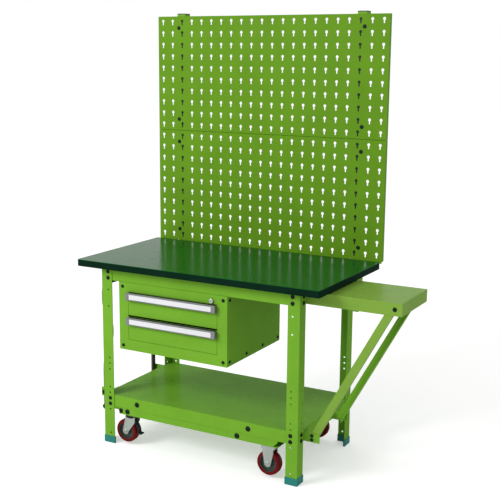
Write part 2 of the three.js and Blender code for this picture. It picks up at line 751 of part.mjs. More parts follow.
makeWorktop();
for (const rear of [false, true]) {
  for (const side of [-1, 1]) makeLeg(side, rear);
}
makeAprons();
makeBottomShelf();
makePegboard();
makePosts();
makeSideShelf();
makeCabinet();
makeArms();
makeCarriage();
for (const rear of [false, true]) {
  for (const leftSide of [true, false]) makeCaster(leftSide, rear);
}
makeLever();

// The origin stands on the floor under the middle of the whole table.
table.updateMatrixWorld(true);
const extent = new THREE.Box3().setFromObject(table, true);
table.position.set(-(extent.min.x + extent.max.x) / 2, -(extent.min.y + extent.max.y) / 2, -extent.min.z);

export default table;
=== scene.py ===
import json
import math

import bmesh
import bpy
from bpy.props import FloatProperty, FloatVectorProperty, PointerProperty
from mathutils import Matrix, Vector
from mathutils.geometry import tessellate_polygon


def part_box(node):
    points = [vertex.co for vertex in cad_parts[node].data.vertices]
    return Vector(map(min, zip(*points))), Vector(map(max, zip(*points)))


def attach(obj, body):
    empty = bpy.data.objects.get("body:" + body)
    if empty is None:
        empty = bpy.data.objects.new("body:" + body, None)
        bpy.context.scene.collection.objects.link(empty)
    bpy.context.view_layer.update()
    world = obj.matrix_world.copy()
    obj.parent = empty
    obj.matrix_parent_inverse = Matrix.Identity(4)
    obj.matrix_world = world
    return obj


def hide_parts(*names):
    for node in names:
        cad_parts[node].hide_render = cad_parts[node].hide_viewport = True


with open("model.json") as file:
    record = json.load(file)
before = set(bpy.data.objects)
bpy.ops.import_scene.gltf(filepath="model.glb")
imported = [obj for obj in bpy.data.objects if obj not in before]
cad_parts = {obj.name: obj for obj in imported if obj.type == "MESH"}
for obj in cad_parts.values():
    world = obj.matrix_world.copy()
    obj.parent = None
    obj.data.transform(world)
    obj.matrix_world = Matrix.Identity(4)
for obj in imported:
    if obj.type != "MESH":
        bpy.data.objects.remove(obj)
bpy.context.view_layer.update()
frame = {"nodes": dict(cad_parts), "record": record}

bl_info = {
    "name": "Assembly Table Looks",
    "version": (1, 0, 0),
    "blender": (4, 5, 0),
    "location": "View3D > Sidebar > Assembly Table",
    "description": "Finishes and fine pieces of a workshop assembly table",
    "category": "Object",
}

MM = 0.001
CORNERS = ("front_left", "front_right", "rear_left", "rear_right")


def shade(red, green, blue):
    """Linear colour of a colour that is written in screen values."""
    def linear(value):
        value /= 255
        return value / 12.92 if value <= 0.04045 else ((value + 0.055) / 1.055) ** 2.4
    return (linear(red), linear(green), linear(blue), 1.0)


def colour(name, default):
    return FloatVectorProperty(name=name, description=f"Base colour of the {name.lower()}", subtype="COLOR",
                               size=4, min=0, max=1, default=default)


def length(name, millimetres, words):
    return FloatProperty(name=name, description=words, default=millimetres * MM, unit="LENGTH")


class TableFinishes(bpy.types.PropertyGroup):
    """Colours of the table's finishes."""
    green_paint: colour("Green paint", shade(115, 170, 50))
    panel_paint: colour("Pegboard paint", shade(100, 148, 31))
    # The same green paint made paler and greyer: painted light for the brighter light on the side shelf and
    # the front strut.
    side_paint: colour("Side shelf paint", shade(127, 166, 66))
    worktop_laminate: colour("Worktop laminate", shade(4, 88, 24))
    worktop_edge: colour("Worktop edge", shade(10, 38, 25))
    teal_rubber: colour("Foot rubber", shade(8, 122, 114))
    red_tread: colour("Wheel tread", shade(104, 6, 8))
    zinc_steel: colour("Zinc steel", shade(178, 184, 180))
    # The chrome is given a dark grey colour: painted reflection of dark surroundings on the metal tube.
    chrome_tube: colour("Chrome", shade(82, 79, 79))
    black_plastic: colour("Black plastic", shade(24, 28, 26))
    handle_aluminium: colour("Handle aluminium", shade(132, 134, 133))
    wheel_core: colour("Wheel core", shade(48, 60, 54))
    label_card: colour("Label card", shade(224, 224, 228))
    bolt_black: colour("Black bolts", shade(12, 30, 21))


class TableSizes(bpy.types.PropertyGroup):
    """Sizes of the fine pieces."""
    pitch: length("Keyhole pitch", 50, "Distance between two keyholes")
    panel_sheet: length("Panel sheet", 1.5, "Thickness of the pegboard's sheet")
    seam_fold: length("Seam fold", 2.2, "Slope of the panels' edges along the seam between them")
    foot_lip: length("Foot lip", 8, "Height of the lip under the lower panel")
    hole_round: length("Keyhole round", 6.5, "Radius of a keyhole's round end")
    hole_rise: length("Keyhole rise", 5, "Height of the round end over the keyhole's middle")
    hole_slot: length("Keyhole slot", 3, "Half width of a keyhole's slot")
    hole_drop: length("Keyhole drop", 12.5, "Depth of the slot under the keyhole's middle")
    panel_bolt_shift: length("Panel bolt shift", 12, "Distance of the panel bolts from the post's middle")
    leg_flange: length("Leg flange", 50, "Width of a leg's flange")
    leg_wall: length("Leg wall", 3, "Thickness of a leg")
    leg_hole: length("Leg hole", 4, "Radius of a leg's bolt hole")
    leg_hole_line: length("Leg hole line", 31, "Distance of the holes from the leg's outer edge")
    wheel_axle: length("Wheel axle", 5.7, "Radius of a wheel's axle hole")
    wheel_hub: length("Wheel hub", 15, "Radius of a wheel's hub")
    tread_depth: length("Tread depth", 14, "Thickness of the tread from rim to outside")
    tread_round: length("Tread round", 4, "Rounding of the tread's shoulders")
    lever_tail: length("Lever tail", 8, "Length of the lever under its crank pin")
    lever_crank: length("Lever crank", 66, "Distance of the lever's crank pin from its pivot")
    lever_straight: length("Lever straight", 90, "Length of the straight part over the pivot")
    lever_bow: length("Lever bow", 35, "Width of the lever's bow, and rise of the bow over the middle")
    lever_bend: length("Lever bend", 45, "Size of the bends at the lever's top")
    lever_tube: length("Lever tube", 10, "Radius of the lever's tube")
    bolt_head: length("Bolt head", 6.5, "Radius of a bolt head")
    edge_round: length("Edge round", 0.7, "Rounding of the folded edges")


class StageSettings(bpy.types.PropertyGroup):
    """Camera and light."""
    azimuth: FloatProperty(name="Azimuth", description="Camera turn to the right", subtype="ANGLE",
                           default=math.radians(28.846))
    elevation: FloatProperty(name="Elevation", description="Camera height angle", subtype="ANGLE",
                             default=math.radians(11.128))
    roll: FloatProperty(name="Roll", description="Camera roll", subtype="ANGLE", default=math.radians(0.4885))
    lens: FloatProperty(name="Lens", description="Focal length in millimetres", default=70.246)
    place: FloatVectorProperty(name="Place", description="Camera place", subtype="TRANSLATION",
                               default=(1.83635, -3.43732, 1.61004))
    key_power: FloatProperty(name="Key light", description="Power of the key light", unit="POWER",
                             default=150)
    sky: FloatProperty(name="Sky", description="Strength of the soft light all round", default=0.62)
    floor_lift: FloatProperty(name="Floor lift", description="How much whiter the camera sees the floor",
                              default=0.42)


# Materials

def finish(name, base, rough, grain, depth, variation, metal=0.0, shine=0.5, streak=(1, 1, 1)):
    """Paint, plastic or metal with soft colour drift, uneven gloss and a fine skin."""
    drift_scale = 9.0
    gloss_scale = 34.0
    gloss_swing = 0.08
    skin_height = 0.4 * MM
    made = bpy.data.materials.get(name)
    if made:
        return made
    made = bpy.data.materials.new(name)
    made.use_nodes = True
    nodes, links = made.node_tree.nodes, made.node_tree.links
    shader = nodes["Principled BSDF"]
    shader.inputs["Metallic"].default_value = metal
    shader.inputs["Specular IOR Level"].default_value = shine
    place = nodes.new("ShaderNodeTexCoord")
    stretch = nodes.new("ShaderNodeMapping")
    stretch.inputs["Scale"].default_value = streak
    links.new(place.outputs["Object"], stretch.inputs["Vector"])

    def noise(scale, detail):
        node = nodes.new("ShaderNodeTexNoise")
        node.inputs["Scale"].default_value = scale
        node.inputs["Detail"].default_value = detail
        links.new(stretch.outputs["Vector"], node.inputs["Vector"])
        return node.outputs["Fac"]

    ramp = nodes.new("ShaderNodeValToRGB")
    ramp.color_ramp.elements[0].position = 0.3
    ramp.color_ramp.elements[1].position = 0.7
    ramp.color_ramp.elements[0].color = [c * (1 - variation) for c in base[:3]] + [1]
    ramp.color_ramp.elements[1].color = [min(1, c * (1 + variation)) for c in base[:3]] + [1]
    links.new(noise(drift_scale, 5.0), ramp.inputs["Fac"])
    links.new(ramp.outputs["Color"], shader.inputs["Base Color"])
    gloss = nodes.new("ShaderNodeMapRange")
    gloss.inputs["To Min"].default_value = rough - gloss_swing
    gloss.inputs["To Max"].default_value = rough + gloss_swing
    links.new(noise(gloss_scale, 4.0), gloss.inputs["Value"])
    links.new(gloss.outputs["Result"], shader.inputs["Roughness"])
    bump = nodes.new("ShaderNodeBump")
    bump.inputs["Strength"].default_value = depth
    bump.inputs["Distance"].default_value = skin_height
    links.new(noise(grain, 3.0), bump.inputs["Height"])
    links.new(bump.outputs["Normal"], shader.inputs["Normal"])
    return made


def finish_of(slot):
    """The finish of one of the record's slots, of a fine piece or of the green paint made paler as painted
    light on the side shelf.
    """
    hues = bpy.context.scene.table_finishes
    recipes = {
        "green_paint": dict(rough=0.26, shine=0.015, grain=700, depth=0.12, variation=0.05),
        "panel_paint": dict(rough=0.45, shine=0.05, grain=700, depth=0.12, variation=0.05),
        "side_paint": dict(rough=0.3, shine=0.03, grain=700, depth=0.12, variation=0.05),
        "worktop_laminate": dict(rough=0.2, shine=0.08, grain=420, depth=0.05, variation=0.1),
        "worktop_edge": dict(rough=0.6, shine=0.02, grain=500, depth=0.1, variation=0.15),
        "teal_rubber": dict(rough=0.55, grain=600, depth=0.2, variation=0.08),
        "red_tread": dict(rough=0.45, shine=0.12, grain=500, depth=0.08, variation=0.12),
        "zinc_steel": dict(rough=0.34, metal=0.85, grain=300, depth=0.12, variation=0.1, streak=(1, 1, 0.12)),
        "chrome_tube": dict(rough=0.14, metal=1.0, grain=200, depth=0.02, variation=0.04),
        "black_plastic": dict(rough=0.5, grain=800, depth=0.2, variation=0.2),
        "handle_aluminium": dict(rough=0.4, metal=0.5, shine=0.3, grain=300, depth=0.08, variation=0.06,
                                 streak=(0.08, 1, 1)),
        "wheel_core": dict(rough=0.5, grain=500, depth=0.1, variation=0.15),
        "label_card": dict(rough=0.3, grain=500, depth=0.03, variation=0.02),
        "bolt_black": dict(rough=0.45, shine=0.2, grain=600, depth=0.1, variation=0.2),
    }
    return finish(f"{slot}_finish", getattr(hues, slot), **recipes[slot])


# Mesh helpers

def piece(name, shape, slot, body, smooth=False, *replaced, record_slot=None):
    """A new object from (points, faces), its points joined where they meet, that rides on a body."""
    mesh = bpy.data.meshes.new(name)
    mesh.from_pydata(shape[0], [], shape[1])
    work = bmesh.new()
    work.from_mesh(mesh)
    bmesh.ops.remove_doubles(work, verts=work.verts, dist=0.02 * MM)
    bmesh.ops.recalc_face_normals(work, faces=work.faces)
    work.to_mesh(mesh)
    work.free()
    mesh.materials.append(finish_of(slot))
    if smooth:
        mesh.shade_smooth()
        mesh.set_sharp_from_angle(angle=math.radians(35))
    made = bpy.data.objects.new(name, mesh)
    bpy.context.scene.collection.objects.link(made)
    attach(made, body)
    if replaced:
        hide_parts(*replaced)
    return made


def soften(made, width, segments=3):
    """Round the edges of a piece."""
    soft = made.modifiers.new("edge_round", "BEVEL")
    soft.width = width
    soft.segments = segments
    return soft


def combine(shapes):
    """One shape from several."""
    points, faces = [], []
    for more_points, more_faces in shapes:
        start = len(points)
        points += more_points
        faces += [tuple(start + i for i in face) for face in more_faces]
    return points, faces


def turned(profile, place, axis, segments=32):
    """A profile of (radius, height) pairs turned about an axis through a place; radius 0 closes an end."""
    turn = Vector(axis).to_track_quat("Z", "Y").to_matrix()
    points, rings = [], []
    for radius, height in profile:
        count = 1 if radius == 0 else segments
        ring = []
        for i in range(count):
            angle = 2 * math.pi * i / segments
            local = Vector((radius * math.cos(angle), radius * math.sin(angle), height))
            ring.append(len(points))
            points.append(tuple(Vector(place) + turn @ local))
        rings.append(ring)
    faces = []
    for low, high in zip(rings, rings[1:]):
        for i in range(segments):
            quad = [low[i % len(low)], low[(i + 1) % len(low)],
                    high[(i + 1) % len(high)], high[i % len(high)]]
            faces.append(tuple(dict.fromkeys(quad)))
    return points, faces


def block(low, high):
    """A box between two corners."""
    corners = [(x, y, z) for x in (low[0], high[0]) for y in (low[1], high[1]) for z in (low[2], high[2])]
    return corners, [(0, 1, 3, 2), (4, 6, 7, 5), (0, 4, 5, 1), (2, 3, 7, 6), (0, 2, 6, 4), (1, 5, 7, 3)]


def swept(path, radius, sides=20):
    """A round bar along a list of points that lie in planes of constant depth or constant height."""
    points, faces = [], []
    for i, here in enumerate(path):
        ahead = (path[min(i + 1, len(path) - 1)] - path[max(i - 1, 0)]).normalized()
        side = Vector((1, 0, 0)) - ahead * ahead.x
        side.normalize()
        other = ahead.cross(side)
        for j in range(sides):
            angle = 2 * math.pi * j / sides
            points.append(tuple(here + radius * (math.cos(angle) * side + math.sin(angle) * other)))
    for i in range(len(path) - 1):
        for j in range(sides):
            k = (j + 1) % sides
            faces.append((i * sides + j, i * sides + k, (i + 1) * sides + k, (i + 1) * sides + j))
    faces.append(tuple(range(sides)))
    faces.append(tuple(range(len(points) - sides, len(points))))
    return points, faces


def bolt(place, axis, size=1.0):
    """Round head on a washer, with a round recess."""
    head = bpy.context.scene.table_sizes.bolt_head * size
    tall = head * 0.62
    washer = head * 1.3
    thin = head * 0.16
    sunk = tall * 0.55
    profile = [(0, 0), (washer, 0), (washer, thin), (head, thin), (head, tall * 0.7), (head * 0.8, tall),
               (head * 0.5, tall), (head * 0.45, tall - sunk), (0, tall - sunk)]
    return turned(profile, place, axis, 18)


# Operators

class TableOperator:
    bl_options = {"REGISTER"}


class TABLE_OT_frame_finishes(TableOperator, bpy.types.Operator):
    """Give every CAD node its finish and soften its folded edges"""
    bl_idname = "table.frame_finishes"
    bl_label = "Frame finishes"

    def execute(self, context):
        width = context.scene.table_sizes.edge_round
        # The side shelf and the front strut get a paler copy of the green paint: painted light.
        painted_lighter = ("side_shelf", "strut_front")
        for part in frame["record"]["subparts"]:
            node = frame["nodes"][part["node"]]
            look = "side_paint" if part["node"] in painted_lighter else part["material_slot"]
            node.data.materials.clear()
            node.data.materials.append(finish_of(look))
            soft = soften(node, width, 2)
            soft.limit_method = "ANGLE"
            soft.angle_limit = math.radians(50)
        return {"FINISHED"}


def keyhole_reach(angle, sizes):
    """Distance from a keyhole's middle to its edge: a round end over a straight slot."""
    across, up = math.cos(angle), math.sin(angle)
    reach = sizes.hole_rise * up + math.sqrt(max(0, sizes.hole_round ** 2 - (sizes.hole_rise * across) ** 2))
    if up < 0:
        slot = min(sizes.hole_slot / max(abs(across), 1e-6), sizes.hole_drop / -up)
        reach = max(reach, slot)
    return reach


def spans_beside_posts(low, high, sheet):
    """Stretches of a panel's back that the posts leave free."""
    left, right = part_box("post_left"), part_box("post_right")
    stops = [low.x, left[0].x, left[1].x, right[0].x, right[1].x, high.x]
    return [(stops[i] + sheet, stops[i + 1] - sheet) for i in (0, 2, 4)]


def keyhole_panel(low, high, seam, sizes):
    """Sheet with a keyhole in every cell and folded edges; the edge at the seam's height slopes back."""
    columns = round((high.x - low.x) / sizes.pitch)
    rows = round((high.z - low.z) / sizes.pitch)
    sheet = sizes.panel_sheet
    # Even steps round a keyhole, in degrees; at the slot's end its own corners take their place,
    # and opposite too, so that a cell's upper edge meets the lower edge of the next.
    slot_corner = math.degrees(math.atan2(sizes.hole_slot, sizes.hole_drop))
    around = [angle for angle in range(0, 360, 15) if angle not in (75, 105, 255, 285)]
    slot_end = [249, 270 - slot_corner, 270 + slot_corner, 291]
    opposite = [angle - 180 for angle in slot_end]
    angles = [math.radians(angle) for angle in sorted(around + slot_end + opposite)]
    borders = ((0, low.x), (0, high.x), (2, low.z), (2, high.z))
    near = 0.1 * MM
    half = sizes.pitch / 2
    count = len(angles)
    shapes = []
    for column in range(columns):
        for row in range(rows):
            x = low.x + (column + 0.5) * sizes.pitch
            z = low.z + (row + 0.5) * sizes.pitch
            points = []
            for depth in (low.y, low.y + sheet):
                for angle in angles:
                    across, up = math.cos(angle), math.sin(angle)
                    edge = half / max(abs(across), abs(up))
                    height = z + edge * up
                    if depth == low.y and abs(height - seam) < near:
                        height -= math.copysign(sizes.seam_fold, up)
                    points.append((x + edge * across, depth, height))
                for angle in angles:
                    reach = keyhole_reach(angle, sizes)
                    points.append((x + reach * math.cos(angle), depth, z + reach * math.sin(angle)))
            faces = []
            for i in range(count):
                j = (i + 1) % count
                faces.append((i, j, count + j, count + i))
                faces.append((2 * count + j, 2 * count + i, 3 * count + i, 3 * count + j))
                faces.append((count + i, count + j, 3 * count + j, 3 * count + i))
                ends = (points[2 * count + i], points[2 * count + j])
                if any(all(abs(end[axis] - level) < near for end in ends) for axis, level in borders):
                    faces.append((i, j, 2 * count + j, 2 * count + i))
            shapes.append((points, faces))
    edges = [((low.x, low.z), (low.x + sheet, high.z)), ((high.x - sheet, low.z), (high.x, high.z))]
    for x0, x1 in spans_beside_posts(low, high, sheet):
        edges += [((x0, z), (x1, z + sheet)) for z in (low.z, high.z - sheet)]
    hair = 0.03 * MM
    for (x0, z0), (x1, z1) in edges:
        shapes.append(block((x0 + hair, low.y + sheet, z0 + hair), (x1 - hair, high.y, z1 - hair)))
    return combine(shapes)


class TABLE_OT_peg_panels(TableOperator, bpy.types.Operator):
    """Make the two pegboard panels with their keyholes"""
    bl_idname = "table.peg_panels"
    bl_label = "Pegboard panels"

    def execute(self, context):
        sizes = context.scene.table_sizes
        sheet = sizes.panel_sheet
        for name in ("upper", "lower"):
            node = f"peg_panel_{name}"
            low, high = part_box(node)
            seam = low.z if name == "upper" else high.z
            shape = keyhole_panel(low, high, seam, sizes)
            piece(f"keyhole_panel_{name}", shape, "panel_paint", "frame", False, node,
                  record_slot="green_paint")
        low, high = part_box("peg_panel_lower")
        lips = [block((x0, low.y, low.z - sizes.foot_lip), (x1, low.y + sheet, low.z))
                for x0, x1 in spans_beside_posts(low, high, sheet)]
        piece("panel_foot_lip", combine(lips), "panel_paint", "frame", record_slot="green_paint")
        # The posts' fronts behind the keyholes get black sheets: painted shade for the shadow that fills the
        # holes in front of the posts.
        hair = 0.03 * MM
        face = low.y + sheet + hair
        foot = low.z
        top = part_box("peg_panel_upper")[1].z
        for side in ("left", "right"):
            low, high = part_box(f"post_{side}")
            painted_shade_sheet = block((low.x, face, foot), (high.x, low.y - hair, top))
            piece(f"post_tape_{side}", painted_shade_sheet, "bolt_black", "frame", record_slot="black_plastic")
        return {"FINISHED"}


def angle_leg(corner, in_x, in_y, sizes, base, top, heights):
    """Angle with round holes on one line in both flanges, as one closed skin."""
    wide, wall, line, hole = sizes.leg_flange, sizes.leg_wall, sizes.leg_hole_line, sizes.leg_hole
    sides = 28
    turns = [2 * math.pi * i / sides for i in range(sides)]
    holes = [[(line + hole * math.cos(turn), height + hole * math.sin(turn)) for turn in turns]
             for height in heights]
    hole_wall = [(i, (i + 1) % sides, sides + (i + 1) % sides, sides + i) for i in range(sides)]
    edge = [(wide, base), (wide, top)]

    def spots(loop, depth, inward, through):
        flat = [(corner + inward * along + through * depth, height) for along, height in loop]
        return [(place.x, place.y, height) for place, height in flat]

    shapes = []
    for flange in ((in_x, in_y), (in_y, in_x)):
        for start in (0, wall):
            loops = [[(start, base), (wide, base), (wide, top), (start, top)], *holes]
            faces = tessellate_polygon([[Vector((*pair, 0)) for pair in loop] for loop in loops])
            shapes.append(([spot for loop in loops for spot in spots(loop, start, *flange)], faces))
        for loop in holes:
            shapes.append((spots(loop, 0, *flange) + spots(loop, wall, *flange), hole_wall))
        shapes.append((spots(edge, 0, *flange) + spots(edge, wall, *flange), [(0, 1, 3, 2)]))
    outline = [(0, 0), (wide, 0), (wide, wall), (wall, wall), (wall, wide), (0, wide)]
    flat = [corner + in_x * along + in_y * across for along, across in outline]
    for height in (base, top):
        shapes.append(([(place.x, place.y, height) for place in flat], [tuple(range(len(flat)))]))
    return combine(shapes)


class TABLE_OT_legs(TableOperator, bpy.types.Operator):
    """Make the angle legs with their round bolt holes"""
    bl_idname = "table.legs"
    bl_label = "Legs"

    def execute(self, context):
        sizes = context.scene.table_sizes
        shelf_low, shelf_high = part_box("bottom_shelf")
        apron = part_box("front_apron")[0].z
        over_foot = 15 * MM
        under_shelf = 15 * MM
        shelf_step = 24.5 * MM
        over_shelf = 111 * MM
        middle_step = 25 * MM
        under_apron = 111 * MM
        apron_step = 70 * MM
        heights = [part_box("foot_cap_front_left")[1].z + over_foot]
        heights += [shelf_low.z - under_shelf + step * shelf_step for step in (0, 3, 4)]
        heights += [shelf_high.z + over_shelf + step * middle_step for step in range(3)]
        heights += [apron - under_apron + step * apron_step for step in range(2)]
        for corner in CORNERS:
            low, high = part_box(f"leg_{corner}")
            in_x = Vector((1 if "left" in corner else -1, 0, 0))
            in_y = Vector((0, 1 if "front" in corner else -1, 0))
            edge = Vector((low.x if in_x.x > 0 else high.x, low.y if in_y.y > 0 else high.y, 0))
            shape = angle_leg(edge, in_x, in_y, sizes, low.z, high.z, heights)
            piece(f"angle_leg_{corner}", shape, "green_paint", "frame", False, f"leg_{corner}")
        return {"FINISHED"}


class TABLE_OT_foot_caps(TableOperator, bpy.types.Operator):
    """Make the moulded caps that follow the angle of the legs"""
    bl_idname = "table.foot_caps"
    bl_label = "Foot caps"

    def execute(self, context):
        wall = context.scene.table_sizes.leg_wall
        for corner in CORNERS:
            low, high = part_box(f"foot_cap_{corner}")
            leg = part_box(f"leg_{corner}")
            wide, deep = high.x - low.x, high.y - low.y
            turn_x = 1 if "left" in corner else -1
            turn_y = 1 if "front" in corner else -1
            start_x = low.x if turn_x > 0 else high.x
            start_y = low.y if turn_y > 0 else high.y
            thick = wall + 2 * (leg[0].x - low.x if turn_x > 0 else high.x - leg[1].x)
            outline = [(0, 0), (wide, 0), (wide, thick), (thick, thick), (thick, deep), (0, deep)]
            count = len(outline)
            flat = [(start_x + turn_x * u, start_y + turn_y * v) for u, v in outline]
            points = [(x, y, z) for z in (low.z, high.z) for x, y in flat]
            faces = [(i, (i + 1) % count, count + (i + 1) % count, count + i) for i in range(count)]
            faces += [tuple(range(count)), tuple(range(count, 2 * count))]
            made = piece(f"moulded_cap_{corner}", (points, faces), "teal_rubber", "frame", False,
                         f"foot_cap_{corner}")
            soften(made, 1.2 * MM)
        return {"FINISHED"}


def mirrored(half_profile):
    """A closed profile from the half on one side of the wheel's middle plane."""
    other = [(radius, -height) for radius, height in reversed(half_profile)]
    return half_profile + other + half_profile[:1]


class TABLE_OT_wheels(TableOperator, bpy.types.Operator):
    """Make round wheels with a tread, a rim and a hub"""
    bl_idname = "table.wheels"
    bl_label = "Wheels"

    def execute(self, context):
        sizes = context.scene.table_sizes
        axle, hub, round_off = sizes.wheel_axle, sizes.wheel_hub, sizes.tread_round
        slope = 2 * MM
        segments = 48
        for corner in CORNERS:
            node = f"wheel_{corner}"
            low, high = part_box(node)
            centre = (low + high) / 2
            radius = (high.z - low.z) / 2
            half = (high.y - low.y) / 2
            inner = radius - sizes.tread_depth
            rim = half * 0.92
            dish = half * 0.4
            tread = [(inner, -half), (radius - round_off, -half), (radius - round_off * 0.3, -half * 0.86),
                     (radius, -half * 0.6)]
            core = [(axle, -rim), (hub, -rim), (hub + slope, -dish), (inner - 2 * slope, -dish),
                    (inner - slope, -rim), (inner, -rim)]
            ring = turned(mirrored(tread), centre, (0, 1, 0), segments)
            piece(f"tread_{corner}", ring, "red_tread", node, True, node)
            disc = turned(mirrored(core), centre, (0, 1, 0), segments)
            piece(f"wheel_core_{corner}", disc, "wheel_core", node, True, record_slot="black_plastic")
            self.fork_trim(corner, centre)
        return {"FINISHED"}

    def fork_trim(self, corner, centre):
        """Axle nuts, and the dark bearing ring of a swivel fork."""
        swivels = corner.endswith("left")
        body = f"caster_{corner}" if swivels else "carriage"
        flank = 20 * MM
        nuts = [bolt((centre.x, centre.y + side * flank, centre.z), (0, side, 0), 1.1) for side in (-1, 1)]
        piece(f"axle_nuts_{corner}", combine(nuts), "zinc_steel", body, True)
        if not swivels:
            return
        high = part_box(f"swivel_fork_{corner}")[1]
        crown = 24 * MM
        bulge = 2 * MM
        bottom, top = -11 * MM, -0.5 * MM
        ring = [(crown, bottom), (crown + bulge, bottom), (crown + 2 * bulge, -8 * MM),
                (crown + 2 * bulge, -3 * MM), (crown + bulge, top), (crown, top), (crown, bottom)]
        place = (high.x - crown, centre.y, high.z)
        piece(f"swivel_ring_{corner}", turned(ring, place, (0, 0, 1), 40), "bolt_black", body, True,
              record_slot="black_plastic")


def curve_points(start, first, second, end, steps=10):
    """Points on a smooth curve, without its end."""
    made = []
    for i in range(steps):
        t = i / steps
        rest = 1 - t
        near = start * rest ** 3 + first * 3 * t * rest ** 2
        far = second * 3 * t * t * rest + end * t ** 3
        made.append(near + far)
    return made


class TABLE_OT_lever(TableOperator, bpy.types.Operator):
    """Make the bent lever tube and its ribbed grip"""
    bl_idname = "table.lever"
    bl_label = "Lever"

    def execute(self, context):
        sizes = context.scene.table_sizes
        tube, bend = sizes.lever_tube, sizes.lever_bend
        low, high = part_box("lever_tube")
        grip_low, grip_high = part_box("lever_grip")
        x = (grip_low.x + grip_high.x) / 2
        top = (grip_low.z + grip_high.z) / 2
        front, rear = low.y + tube, high.y - tube
        pin = low.z + sizes.lever_tail
        pivot = pin + sizes.lever_crank
        foot = pivot + sizes.lever_straight
        middle = (pivot + top) / 2 + sizes.lever_bow
        bow = x + sizes.lever_bow
        shoulder = top - 1.6 * bend

        def upright(y):
            def at(across, height):
                return Vector((across, y, height))
            knee = 0.6
            out_knee = foot + knee * (middle - foot)
            in_knee = middle + knee * (shoulder - middle)
            rise = [at(x, low.z)]
            rise += curve_points(at(x, foot), at(x, out_knee), at(bow, out_knee), at(bow, middle))
            rise += curve_points(at(bow, middle), at(bow, in_knee), at(x, in_knee), at(x, shoulder))
            return rise + [at(x, shoulder), at(x, top - bend)]

        def corner(y, inward):
            begin = Vector((x, y, top - bend))
            end = Vector((x, y + inward * bend, top))
            knee = Vector((x, y, top))
            return curve_points(begin, begin.lerp(knee, 2 / 3), end.lerp(knee, 2 / 3), end) + [end]

        path = upright(front)[:-1] + corner(front, 1)
        path += corner(rear, -1)[::-1] + upright(rear)[:-1][::-1]
        piece("lever_bar", swept(path, tube * 0.97), "chrome_tube", "lever", True, "lever_tube")
        self.grip(grip_low, grip_high, x, top, tube)
        sleeve = swept([Vector((x, front + bend, top)), Vector((x, rear - bend, top))], tube)
        piece("grip_sleeve", sleeve, "black_plastic", "lever", True)
        pins = [bolt((x, y, pin), (0, side, 0), 1.3) for y, side in ((front - tube, -1), (rear + tube, 1))]
        piece("lever_crank_bolts", combine(pins), "bolt_black", "lever", True, record_slot="black_plastic")
        pivots = [bolt((x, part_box("lever_bracket_front")[0].y, pivot), (0, -1, 0), 1.2),
                  bolt((x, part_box("lever_bracket_rear")[1].y, pivot), (0, 1, 0), 1.2)]
        piece("lever_pivot_bolts", combine(pivots), "bolt_black", "frame", True, record_slot="black_plastic")
        return {"FINISHED"}

    def grip(self, grip_low, grip_high, x, top, tube):
        """Ribs round the tube, side by side."""
        ribs = 16
        outer = (grip_high.x - grip_low.x) / 2
        step = (grip_high.y - grip_low.y) / ribs
        groove = outer * 0.9
        profile = [(tube, 0)]
        for i in range(ribs):
            profile += [(groove, (i + 0.05) * step), (outer, (i + 0.3) * step), (outer, (i + 0.7) * step),
                        (groove, (i + 0.95) * step)]
        profile += [(tube, ribs * step), (tube, 0)]
        grip = turned(profile, (x, grip_low.y, top), (0, 1, 0), 24)
        piece("ribbed_grip", grip, "black_plastic", "lever", True, "lever_grip")


